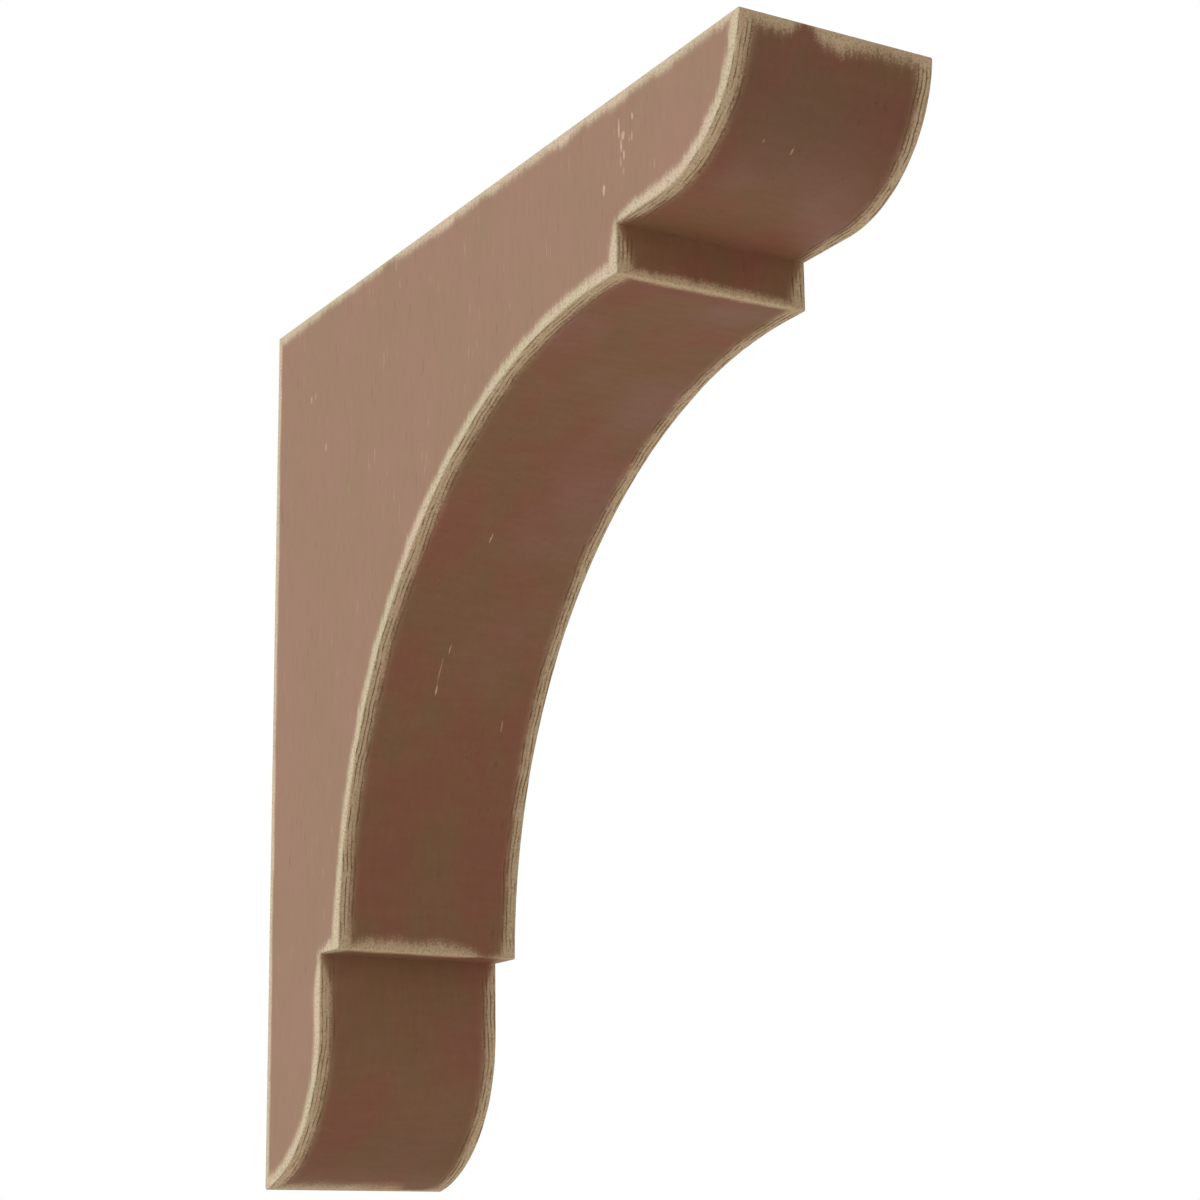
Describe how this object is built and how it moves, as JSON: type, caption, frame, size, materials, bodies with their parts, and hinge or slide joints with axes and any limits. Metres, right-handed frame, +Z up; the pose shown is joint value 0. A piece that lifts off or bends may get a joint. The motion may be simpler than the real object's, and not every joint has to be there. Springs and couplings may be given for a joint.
{
  "type": "corbel bracket",
  "caption": "Solid wooden corbel bracket with a rounded nose and foot, a stepped concave front and flat back and top, for a shelf, counter or eave.",
  "frame": {"origin": "centre of the flat back face, where it meets the wall", "axes": "+Z up, +Y out of the back and into the wall, +X across the width; the nose points along -Y"},
  "size_m": [0.0888, 0.4063, 0.4064],
  "materials": {
    "stained_wood": "matt brown stain, rubbed through to pale bare wood along every edge"
  },
  "bodies": {
    "root": {"bracket": "stained_wood"}
  },
  "joints": []
}
